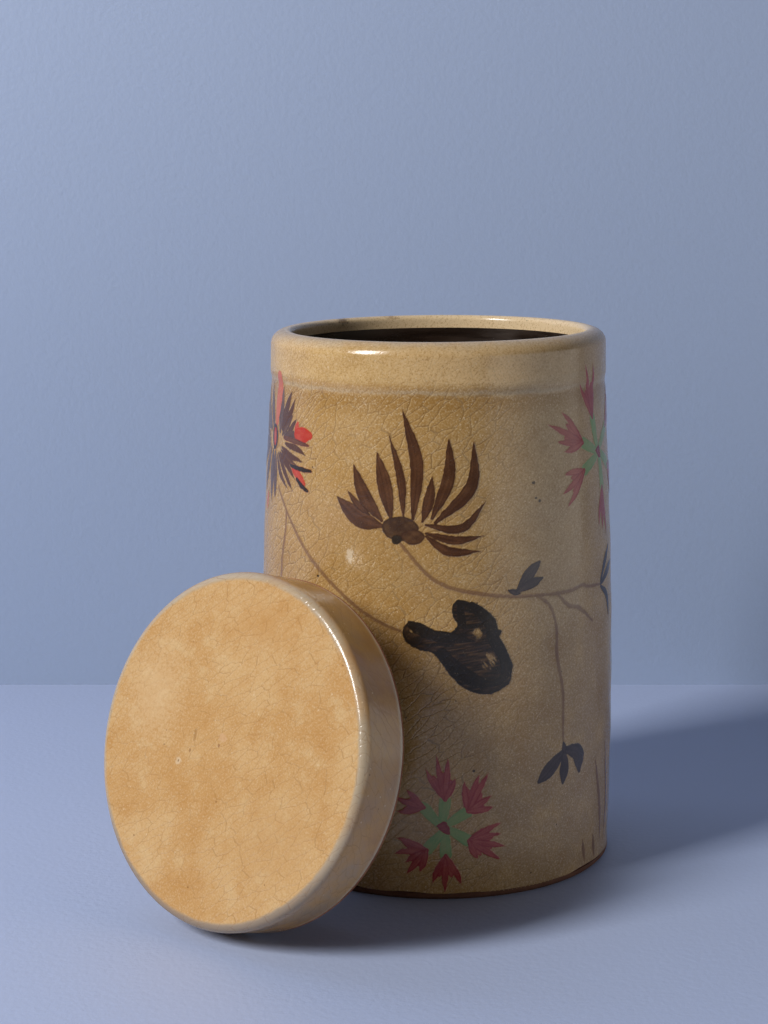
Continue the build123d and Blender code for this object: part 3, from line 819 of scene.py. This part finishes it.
# Brush strokes: places on the wall as (turn, height share), the width share, and for some the load
# or the tone. A petal of an aster has the angle of its root and the (angle, reach share) of its teeth.
chrysanthemum_facing = -10
chrysanthemum_strokes_shares = [
    ([(-19, 0.674), (-27, 0.687), (-35, 0.721)], 0.034),
    ([(-23, 0.693), (-27, 0.709), (-31, 0.734)], 0.013),
    ([(-19, 0.684), (-25, 0.727), (-29, 0.781)], 0.027),
    ([(-16, 0.689), (-18, 0.744), (-21, 0.806)], 0.027),
    ([(-12, 0.692), (-13, 0.761), (-17, 0.835)], 0.016),
    ([(-9, 0.690), (-8, 0.785), (-13, 0.884)], 0.024),
    ([(-6, 0.685), (-4, 0.723), (-3, 0.766)], 0.020),
    ([(-3, 0.691), (2, 0.762), (2, 0.835)], 0.023),
    ([(-2, 0.683), (9, 0.746), (10, 0.829)], 0.023),
    ([(-5, 0.679), (6, 0.673), (14, 0.721)], 0.016),
    ([(-5, 0.664), (4, 0.652), (13, 0.659)], 0.016),
    ([(-5, 0.659), (2, 0.633), (12, 0.632)], 0.017),
]
petal_rise_share = 0.004
spider_middle = (-70.6, 0.808)
spider_strokes_shares = [
    ([(-77, 0.819), (-85, 0.840), (-91, 0.862)], 0.015, 0.0),
    ([(-75, 0.820), (-81, 0.858), (-85, 0.893)], 0.015, 0.0),
    ([(-72.3, 0.824), (-75, 0.864), (-77, 0.903)], 0.016, 0.0),
    ([(-66, 0.822), (-65.2, 0.865), (-64.9, 0.904)], 0.016, 0.1),
    ([(-64, 0.826), (-61.2, 0.866), (-58.3, 0.900)], 0.018, 0.8),
    ([(-62.5, 0.820), (-58.8, 0.855), (-55.8, 0.889)], 0.014, 1.0),
    ([(-64, 0.816), (-60, 0.836), (-56.5, 0.858)], 0.012, 0.5),
    ([(-60.3, 0.818), (-57.2, 0.834), (-54.2, 0.852)], 0.011, 0.7),
    ([(-62.5, 0.813), (-57, 0.820), (-51.5, 0.818)], 0.012, 0.3),
    ([(-61.5, 0.801), (-53.5, 0.796), (-48.6, 0.786)], 0.012, 1.0),
    ([(-64.0, 0.793), (-57.6, 0.782), (-49.6, 0.774)], 0.011, 1.0),
    ([(-64.5, 0.787), (-57, 0.770), (-51, 0.762)], 0.011, 0.9),
    ([(-65.5, 0.782), (-58.5, 0.760), (-53.6, 0.738)], 0.012, 0.9),
    ([(-66.8, 0.780), (-60.5, 0.748), (-54.6, 0.716)], 0.011, 0.8),
    ([(-67.9, 0.777), (-64.0, 0.745), (-58.0, 0.719)], 0.011, 0.6),
    ([(-69.8, 0.779), (-68.7, 0.738), (-68.3, 0.692)], 0.016, 0.1),
    ([(-72.2, 0.781), (-72.1, 0.735), (-72.0, 0.684)], 0.016, 0.0),
    ([(-75.1, 0.783), (-78.5, 0.742), (-81.5, 0.697)], 0.017, 0.0),
    ([(-77, 0.788), (-84, 0.764), (-90, 0.736)], 0.016, 0.0),
    ([(-78, 0.797), (-87, 0.787), (-95, 0.778)], 0.016, 0.0),
    ([(-79, 0.808), (-88, 0.815), (-97, 0.818)], 0.016, 0.0),
]
spider_touches_shares = [
    ([(-67.8, 0.920), (-68.2, 0.880), (-69.3, 0.837)], 0.028, 0.35, 0.0),
    ([(-54.6, 0.828), (-53.9, 0.843)], 0.013, 0.8, 0.0),
    ([(-53.6, 0.823), (-47.6, 0.824)], 0.028, 0.9, 0.0),
    ([(-55.0, 0.760), (-49.4, 0.737)], 0.018, 0.8, 0.0),
    ([(-76.9, 0.697), (-77.8, 0.670)], 0.012, 0.35, 0.0),
    ([(-62.5, 0.812), (-55, 0.809), (-48.0, 0.806)], 0.010, 0.5, 0.85),
    ([(-57.0, 0.765), (-51.4, 0.762), (-46.0, 0.761)], 0.009, 0.9, 1.0),
    ([(-53.0, 0.742), (-50, 0.731), (-47.2, 0.725)], 0.009, 0.9, 1.0),
]
low_aster_middle = (1, 0.136)
low_aster_root_share = 0.052
low_aster_petals_shares = [
    (88, [(107, 0.116), (96, 0.134), (87, 0.130), (78, 0.094)]),
    (34, [(67, 0.094), (57, 0.119), (51, 0.128), (33, 0.104), (21, 0.098)]),
    (-30, [(2, 0.107), (-9, 0.108), (-20, 0.124), (-32, 0.126), (-44, 0.088)]),
    (-86, [(-101, 0.108), (-89, 0.124), (-73, 0.116)]),
    (-126, [(-166, 0.090), (-150, 0.104), (-136, 0.098), (-127, 0.114), (-117, 0.096)]),
    (134, [(162, 0.090), (148, 0.104), (134, 0.098)]),
]
high_aster_middle = (65, 0.785)
high_aster_root_share = 0.068
high_aster_petals_shares = [
    (110, [(118, 0.147), (107, 0.172), (96, 0.165)]),
    (160, [(146, 0.155), (158, 0.175), (167, 0.144), (174, 0.123)]),
    (203, [(193, 0.128), (206, 0.146), (217, 0.148)]),
    (281, [(267, 0.136), (275, 0.150), (283, 0.164)]),
    (332, [(318, 0.140), (330, 0.162), (342, 0.150)]),
    (35, [(48, 0.150), (36, 0.170), (24, 0.152)]),
]
stems_shares = [
    [(-65, 0.719), (-56, 0.665), (-44, 0.602), (-29, 0.538), (-19, 0.507), (-10, 0.489)],
    [(-59, 0.680), (-59, 0.643), (-61, 0.568), (-60, 0.500)],
    [(-13, 0.650), (-5, 0.599), (1, 0.576), (10, 0.562), (22, 0.552), (32, 0.549)],
    [(31, 0.549), (44, 0.546), (51, 0.551), (55, 0.545), (64, 0.540)],
    [(31, 0.549), (36, 0.526), (38.5, 0.486), (39, 0.431), (41.5, 0.361), (42, 0.262)],
    [(39, 0.547), (44, 0.521), (49, 0.512), (57, 0.479)],
]
buds_strokes_shares = [
    ([(21, 0.563), (23, 0.559), (25, 0.556)], 0.012),
    ([(24, 0.560), (28, 0.588), (32, 0.609)], 0.022),
    ([(24, 0.560), (29, 0.571), (33, 0.579)], 0.018),
    ([(42, 0.252), (37, 0.228), (32, 0.205)], 0.029),
    ([(42.5, 0.250), (42.5, 0.218), (42, 0.192)], 0.024),
    ([(43, 0.254), (49, 0.240), (50, 0.205)], 0.033),
    ([(42, 0.268), (42.3, 0.260), (42.5, 0.248)], 0.012),
    ([(64, 0.545), (68, 0.576), (73, 0.604)], 0.016),
    ([(64, 0.540), (70, 0.554), (77, 0.570)], 0.018),
    ([(64, 0.536), (70, 0.512), (72, 0.474)], 0.016),
]
gourd_edge_shares = [
    (-10, 0.514), (-6, 0.509), (-2, 0.498), (3, 0.495), (4.6, 0.506), (3.2, 0.524), (3.2, 0.542),
    (5.4, 0.551), (10, 0.545), (14, 0.531), (17, 0.509), (17.8, 0.483), (19, 0.461), (22, 0.436),
    (22.4, 0.418), (21, 0.395), (17, 0.382), (12, 0.380), (7, 0.391), (3, 0.413), (0, 0.438),
    (-3, 0.456), (-7, 0.462), (-11, 0.476), (-12, 0.494),
]
grass_strokes_shares = [
    ([(60, 0.217), (64, 0.140), (67, 0.035)], 0.012),
    ([(69, 0.235), (72, 0.130), (71, 0.028)], 0.011),
    ([(53, 0.068), (54, 0.045), (55, 0.019)], 0.009),
    ([(60, 0.066), (61, 0.042), (62, 0.016)], 0.011),
]
back_chrysanthemum_shift = 190
back_aster_middle = (150, 0.215)
back_stem_shares = [(176, 0.650), (172, 0.560), (162, 0.450), (154, 0.360)]


def ray_end(middle, angle, reach_share):
    """Place at an angle and a distance round the middle of a flower."""
    turn, height_share = middle
    across = degrees(reach_share * jar_height * cos(radians(angle)) / wall_radius(height_share * jar_height))
    return (turn + across, height_share + reach_share * sin(radians(angle)))


def paint_chrysanthemum(shift):
    """Brown petals that rise from a grey brown head, with a dark calyx."""
    sheet = Painting(chrysanthemum_facing + shift, -38 + shift, 17 + shift, 0.61, 0.90)
    for places, width in chrysanthemum_strokes_shares:
        moved = [(turn + shift, share + petal_rise_share) for turn, share in places]
        sheet.strokes([(moved, width)], start=0.25, peak=0.45, load=0.82, dry=0.06)
    sheet.dab((-13 + shift, 0.675), 0.034, 0.022, load=0.7, tone=0.55)
    sheet.dab((-9 + shift, 0.661), 0.021, 0.013, load=0.65, tone=0.35)
    sheet.dab((-14 + shift, 0.655), 0.009, 0.008, load=1.1, tone=1.0)
    return sheet


def paint_aster(middle, root_share, petals):
    """Petals of an aster, each a fan of teeth from one root, and the eye."""
    turn, share = middle
    sheet = Painting(turn, turn - 36, turn + 36, share - 0.19, share + 0.19)
    for root_angle, teeth in petals:
        root = ray_end(middle, root_angle, root_share)
        for (angle, reach_share), (other, other_share) in zip(teeth, teeth[1:]):
            between_share = 0.3 * root_share + 0.32 * (reach_share + other_share)
            between = ray_end(middle, (angle + other) / 2, between_share)
            sheet.strokes([([root, between], 0.018)], start=0.4, peak=0.6, end=0.35, load=0.66)
        for angle, reach_share in teeth:
            half_share = 0.4 * root_share + 0.6 * reach_share
            half = ray_end(middle, root_angle + 0.85 * (angle - root_angle), half_share)
            tip = ray_end(middle, angle, reach_share)
            sheet.strokes([([root, half, tip], 0.0125)], start=0.5, peak=0.5, load=0.7, dry=0.12)
    eye = [(168, 0.015), (83, 0.012), (10, 0.010), (-50, 0.017), (-100, 0.010)]
    sheet.fill([ray_end(middle, *corner) for corner in eye], tone=0.3)
    return sheet


def paint_arms(middle, root_share, petals):
    """Green arms from the eye to the root of each petal, wider where they end."""
    turn, share = middle
    sheet = Painting(turn, turn - 17, turn + 17, share - 0.09, share + 0.09)
    arms = [([ray_end(middle, angle + 12, 0.010), ray_end(middle, angle, root_share + 0.004)], 0.022)
            for angle, _ in petals]
    return sheet.strokes(arms, start=0.6, peak=0.9, end=0.75, load=0.55)


def paint_spider_flower():
    """Thin petals all round, the grey purple ones broader than the brown ones."""
    sheet = Painting(spider_middle[0], -112, -36, 0.63, 0.96)
    for places, width, tone in spider_strokes_shares:
        broad = width * jar_height * (1.4 if tone < 0.4 else 1.1)
        sheet.stroke(places, broad, start=0.4, peak=0.4, load=0.72, tone=tone, dry=0.10)
    return sheet


def paint_spider_touches():
    """Red and dark touches on the spider flower, and its eye."""
    sheet = Painting(spider_middle[0], -112, -32, 0.63, 0.96)
    for places, width, load, tone in spider_touches_shares:
        sheet.stroke(places, width * jar_height, start=0.8, peak=0.5, end=0.6, load=load, tone=tone)
    sheet.dab(spider_middle, 0.016, 0.024, load=0.9, tone=1.0)
    sheet.dab(spider_middle, 0.008, 0.017, load=0.7, tone=0.2)
    return sheet


def paint_gourd():
    """Black gourd brushed heavily along its body, with two openings and scratches."""
    sheet = Painting(5, -15, 26, 0.35, 0.58)
    sheet.fill(gourd_edge_shares, tone=0.0)
    heavy = [
        ([(-9, 0.505), (-4, 0.490), (4, 0.482), (10, 0.476)], 4.2),
        ([(6, 0.540), (11, 0.531), (15, 0.506), (16, 0.481), (20, 0.436), (19, 0.406), (12, 0.391)], 4.6),
        ([(5.5, 0.545), (6, 0.518), (7, 0.496)], 3.0),
        ([(0, 0.456), (6, 0.421), (12, 0.401), (17, 0.398)], 5.2),
        ([(15.5, 0.484), (17.4, 0.489), (18.8, 0.492)], 3.0),
    ]
    for places, width in heavy:
        sheet.stroke(places, width, start=0.7, peak=0.5, end=0.1, load=1.05, dry=0.1)
    sheet.lift_off((10.6, 0.492), 1.7, 1.1, 0.6)
    sheet.lift_off((11.4, 0.487), 0.9, 1.9, 0.6)
    sheet.lift_off((14.5, 0.438), 2.8, 3.4, 0.6, scratched=True)
    sheet.lift_off((-9.5, 0.494), 2.6, 1.0, 0.7, scratched=True)
    return sheet


def paint_stems(paths, low, high):
    """Thin brown lines on the wall between two turns."""
    sheet = Painting((low + high) / 2, low, high, 0.24, 0.74)
    rows = [(places, 0.0075) for places in paths]
    return sheet.strokes(rows, start=0.8, peak=0.5, end=0.6, load=0.32, soft=0.45)


# The jar


def make_jar(clay):
    skin = (outside_points(glaze_line, 0, 1.5) + lip_points(0)
            + line((mouth_radius, jar_height - lip_drop), (mouth_radius, lining_top), 1.0)[1:])
    under = outside_points(glaze_line, glaze, 6) + lip_points(glaze)
    skin += [(mouth_radius + glaze, lining_top)] + under[::-1]
    made = lathe("jar_glaze_coat", skin, warp_glaze)
    made.data.materials.append(jar_glaze_material())
    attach(made, "jar")
    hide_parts("jar_glaze")

    inner, outer = cavity_points(0, 2.0), cavity_points(glaze, 2.0)
    made = lathe("jar_dark_lining", outer[::-1] + inner, warp_jar, steps=plain_turn_steps)
    made.data.materials.append(lining_material())
    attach(made, "jar")
    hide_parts("jar_lining")

    foot = wall_radius(foot_bevel)
    body = line((0, 0), (foot - foot_bevel, 0), 4)
    body += [(wall_radius(h), h) for h in np.linspace(foot_bevel, glaze_line, 4)]
    body += outside_points(glaze_line, glaze, 2.0) + lip_points(glaze)
    body += cavity_points(glaze, 2.0)
    made = lathe("jar_clay_body", body, warp_jar, steps=plain_turn_steps)
    made.data.materials.append(clay)
    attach(made, "jar")
    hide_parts("jar_body")


# The lid, in its own frame: origin in the middle of its open rim, +Z out of its face


def lid_place():
    """Where the lid leans, from its joint: the line it tips about, and how far it tips."""
    joint = frame["joints"][0]
    along = Vector(joint["axis"])
    lean = radians(joint["range_deg"][1] - 90)
    out = Vector((along.y, -along.x, 0))
    axis = out * cos(lean) + Vector((0, 0, sin(lean)))
    side = axis.cross(along)
    up = side if side.z > 0 else -side
    pivot_share = 1 / (1 + sin(lean))
    centre = Vector(joint["pos_m"]) - axis * (lid_height * pivot_share * mm) + up * (lid_radius * mm)
    return Matrix.Translation(centre) @ Matrix((along, side, axis)).transposed().to_4x4()


def warp_lid(turn, radius, height):
    """Gentle swells in the face and the side of the lid."""
    x, y = radius * np.sin(np.radians(turn)), radius * np.cos(np.radians(turn))
    face = smooth(height, lid_height - 1.0, lid_height - 0.1)
    swell = lid_swell * (1 + noise(x / 26 + 5, y / 26 + 5, 21)) * (1 - smooth(radius, 52, 62))
    side = lid_swell * (1 + ring_noise(turn, height, 3, 6)) * smooth(radius, 60, 63)
    return radius - side, height - swell * face


def make_lid(clay):
    place = lid_place()
    edge = (lid_radius - lid_edge_radius, lid_height - lid_edge_radius)
    skin = line((lid_radius, lid_glaze_line), (lid_radius, edge[1]), 1.2)
    skin += arc(edge, lid_edge_radius, lid_edge_radius, 0, 90, 14)[1:]
    skin += line((edge[0], lid_height), (0, lid_height), 1.2)[1:]
    inset = lid_edge_radius - glaze
    under_face = lid_height - glaze
    back = [(0, under_face)] + line((2, under_face), (edge[0], under_face), 8)
    back += arc(edge, inset, inset, 90, 0, 8)[1:] + [(lid_radius - glaze, lid_glaze_line)]
    made = lathe("lid_glaze_coat", skin, warp_lid, place)
    made.data.materials.append(lid_glaze_material(place))
    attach(made, "lid")
    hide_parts("lid_glaze")

    inner, inner_end = flange_radius - flange_wall, flange_end_radius - flange_wall
    ceiling, low = lid_height - lid_plate, flange_bevel - flange_depth
    body = back + [(lid_radius, lid_glaze_line), (lid_radius, lid_rim_bevel)]
    body += [(lid_radius - lid_rim_bevel, 0)]
    body += line((lid_radius - 1, 0), (flange_radius, 0), 2)
    body += line((flange_radius, -0.5), (flange_radius, -flange_straight), 2)
    body += line((flange_radius, -flange_straight), (flange_end_radius, low), 2)[1:]
    body += arc((flange_end_radius - flange_bevel, low), flange_bevel, flange_bevel, 0, -90, 6)[1:]
    body += arc((inner_end + flange_bevel, low), flange_bevel, flange_bevel, -90, -180, 6)
    body += line((inner_end, low), (inner, -flange_straight), 2)[1:]
    body += line((inner, -flange_straight), (inner, ceiling - recess_corner), 2)[1:]
    body += arc((inner - recess_corner, ceiling - recess_corner), recess_corner, recess_corner, 0, 90, 8)[1:]
    body += line((inner - recess_corner, ceiling), (0, ceiling), 4)[1:]
    made = lathe("lid_clay_body", body, place=place, steps=plain_turn_steps)
    made.data.materials.append(clay)
    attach(made, "lid")
    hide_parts("lid_body")


# The painting


def make_painting():
    looks = {slot: enamel_material(slot) for slot in enamels}
    low = (low_aster_middle, low_aster_root_share, low_aster_petals_shares)
    high = (high_aster_middle, high_aster_root_share, high_aster_petals_shares)
    rear = (back_aster_middle, low_aster_root_share, low_aster_petals_shares)
    buds = Painting(45, 18, 80, 0.17, 0.63)
    buds.strokes(buds_strokes_shares, start=0.35, peak=0.6, end=0.25, load=0.85)
    grass = Painting(62, 50, 76, 0.012, 0.25)
    grass.strokes(grass_strokes_shares, start=0.2, peak=0.5, load=0.55, soft=0.3)
    sheets = [
        ("chrysanthemum", "painted_chrysanthemum", paint_chrysanthemum(0), "brown_enamel", 2),
        ("spider_flower", "painted_spider_flower", paint_spider_flower(), "grey_purple_enamel", 1),
        ("spider_touches", "painted_spider_touches", paint_spider_touches(), "red_enamel", 3),
        ("low_aster", "low_aster_petals", paint_aster(*low), "crimson_enamel", 2),
        ("low_aster_centre", "low_aster_arms", paint_arms(*low), "green_enamel", 1),
        ("high_aster", "high_aster_petals", paint_aster(*high), "crimson_enamel", 2),
        ("high_aster_centre", "high_aster_arms", paint_arms(*high), "green_enamel", 1),
        ("gourd", "painted_gourd", paint_gourd(), "black_enamel", 2),
        ("buds", "painted_buds", buds, "purple_enamel", 2),
        ("grass", "painted_grass", grass, "brown_line_enamel", 1),
        ("stems", "painted_stems", paint_stems(stems_shares, -70, 70), "brown_line_enamel", 0),
        ("rear_chrysanthemum", "back_chrysanthemum", paint_chrysanthemum(back_chrysanthemum_shift),
         "brown_enamel", 2),
        ("rear_aster", "back_aster_petals", paint_aster(*rear), "crimson_enamel", 2),
        ("rear_aster_centre", "back_aster_arms", paint_arms(*rear), "green_enamel", 1),
        ("rear_stem", "back_stem", paint_stems([back_stem_shares], 150, 180), "brown_line_enamel", 0),
    ]
    for name, node, sheet, slot, layer in sheets:
        made = sheet.mesh(name + "_enamel", layer)
        made.data.materials.append(looks[slot])
        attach(made, "jar")
        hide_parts(node)


# Camera, stage and light


# Places and sizes of the stage, camera and lamps are in metres, angles in degrees
stage_half_width = 4
backdrop_place = 0.241
camera_place = (-0.0212, -0.8030, 0.2811)
camera_dip = 10.244
film_height = 36
focal_pixels, picture_pixels = 2046, 1024
board_aim = (0, 0, 0.14)
room_light = (0.02, 0.02, 0.02, 1)


def set_stage():
    """Pale floor that darkens towards the front, and a backdrop that shows from its front alone."""
    away, far = stage_half_width, backdrop_place
    stage = (("floor", [(-away, -away, 0), (away, -away, 0), (away, away, 0), (-away, away, 0)]),
             ("backdrop", [(-away, far, 0), (away, far, 0), (away, far, away), (-away, far, away)]))
    for name, corners in stage:
        mesh = bpy.data.meshes.new(name)
        mesh.from_pydata(corners, [], [(0, 1, 2, 3)])
        made = linked(name, mesh)
        look = Look(name + "_surface")
        coords = look.millimetres()
        places = look.node("SeparateXYZ", {0: coords}).outputs
        if name == "floor":
            tint = look.mix(look.step(places[1], -360.0, -700.0, 0.0, 0.9), floor_colour, floor_front)
        else:
            # The backdrop darker towards the table: painted shade
            tint = look.mix(look.step(places[2], 0.0, 420.0), backdrop_low_shade, backdrop_colour)
            made.visible_shadow = False
            behind = look.node("NewGeometry").outputs["Backfacing"]
            clear = look.node("BsdfTransparent").outputs[0]
            shown = look.node("MixShader", {0: behind, 1: look.shader.outputs[0], 2: clear}).outputs[0]
            look.feed(look.tree.nodes["Material Output"].inputs["Surface"], shown)
        made.data.materials.append(look.finish(tint, 0.55, look.grain(coords, 2.6), 0.15))


def set_camera():
    camera = bpy.data.cameras.new("camera")
    camera.sensor_width = film_height
    camera.lens = film_height * focal_pixels / picture_pixels
    camera.clip_start, camera.clip_end = 0.05, 20
    placed = linked("camera", camera)
    placed.location = camera_place
    placed.rotation_euler = (radians(90 - camera_dip), 0, 0)
    bpy.context.scene.camera = placed


def area_light(name, turn, lift, distance, width, height, power, aim=(0, 0, 0.1)):
    """Panel of light at a turn round the jar and an angle above the table, facing the jar."""
    lamp = bpy.data.lights.new(name, "AREA")
    lamp.shape, lamp.size, lamp.size_y, lamp.energy = "RECTANGLE", width, height, power
    placed = linked(name, lamp)
    turn, lift = radians(turn), radians(lift)
    away = Vector((sin(turn) * cos(lift), -cos(turn) * cos(lift), sin(lift)))
    placed.location = Vector(aim) + away * distance
    placed.rotation_euler = away.to_track_quat("Z", "Y").to_euler()


def set_light():
    """Softbox from the front left, a pale board that stands at the right, and a dim room."""
    area_light("key", turn=-55, lift=33, distance=1.9, width=0.38, height=0.80, power=33)
    area_light("board", turn=67, lift=0, distance=0.58, width=0.86, height=0.28, power=0.60, aim=board_aim)
    world = bpy.context.scene.world or bpy.data.worlds.new("world")
    bpy.context.scene.world = world
    world.use_nodes = True
    tree = world.node_tree
    shown = tree.nodes.new("ShaderNodeMix")
    shown.data_type = "RGBA"
    tree.links.new(tree.nodes.new("ShaderNodeLightPath").outputs["Is Camera Ray"], shown.inputs[0])
    shown.inputs[6].default_value = room_light
    shown.inputs[7].default_value = backdrop_colour
    tree.links.new(shown.outputs[2], tree.nodes["Background"].inputs["Color"])


bpy.context.scene.view_settings.view_transform = "Standard"
set_camera()
set_stage()
set_light()
clay = clay_material()
make_jar(clay)
make_lid(clay)
make_painting()
